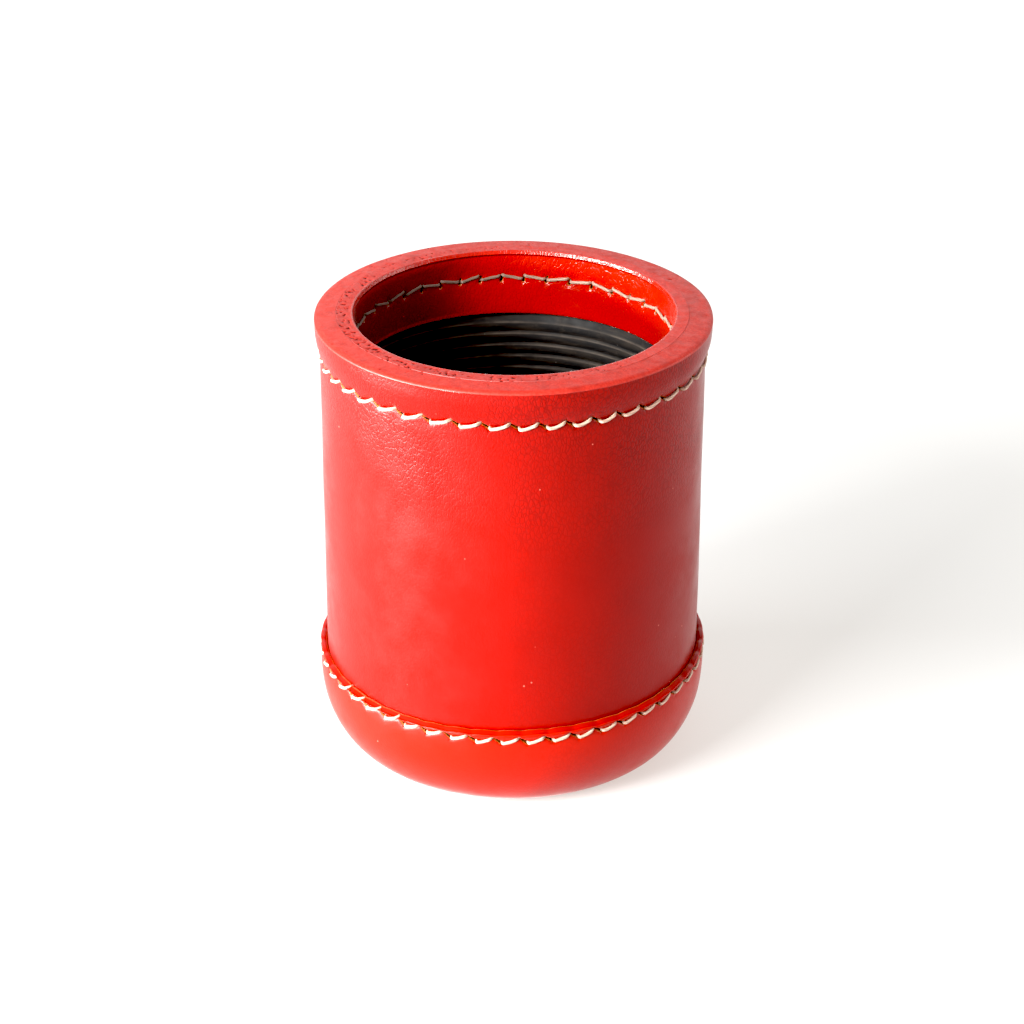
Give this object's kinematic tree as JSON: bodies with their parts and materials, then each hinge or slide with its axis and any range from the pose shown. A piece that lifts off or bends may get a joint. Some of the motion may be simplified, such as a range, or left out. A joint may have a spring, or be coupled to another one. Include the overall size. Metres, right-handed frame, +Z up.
{
  "type": "stitched leather cup",
  "caption": "Round stitched leather cup with a ribbed rubber lining and a moulded base, for shaking dice or standing pens in.",
  "frame": {"origin": "centre of the flat underside, on the cup's axis", "axes": "+Z up the cup's axis and out of its mouth; -Y is the front, +X is to the right seen from the front, and the wall's own joint is near +X"},
  "size_m": [0.0862, 0.0862, 0.1],
  "materials": {
    "red_leather": "smooth dyed leather with fine grain, semi-gloss",
    "red_facing": "dyed leather facing, waxed and glossy in places",
    "black_rubber": "black ribbed rubber, matt",
    "brown_board": "pressed fibre board, bare",
    "cream_thread": "thick waxed thread, off-white"
  },
  "bodies": {
    "root": {"outer_wall": "red_leather", "mouth_band": "red_facing", "base_cup": "red_leather", "base_board": "brown_board", "floor_pad": "black_rubber", "ribbed_liner": "black_rubber", "rim_thread": "cream_thread", "base_thread": "cream_thread"}
  },
  "joints": []
}
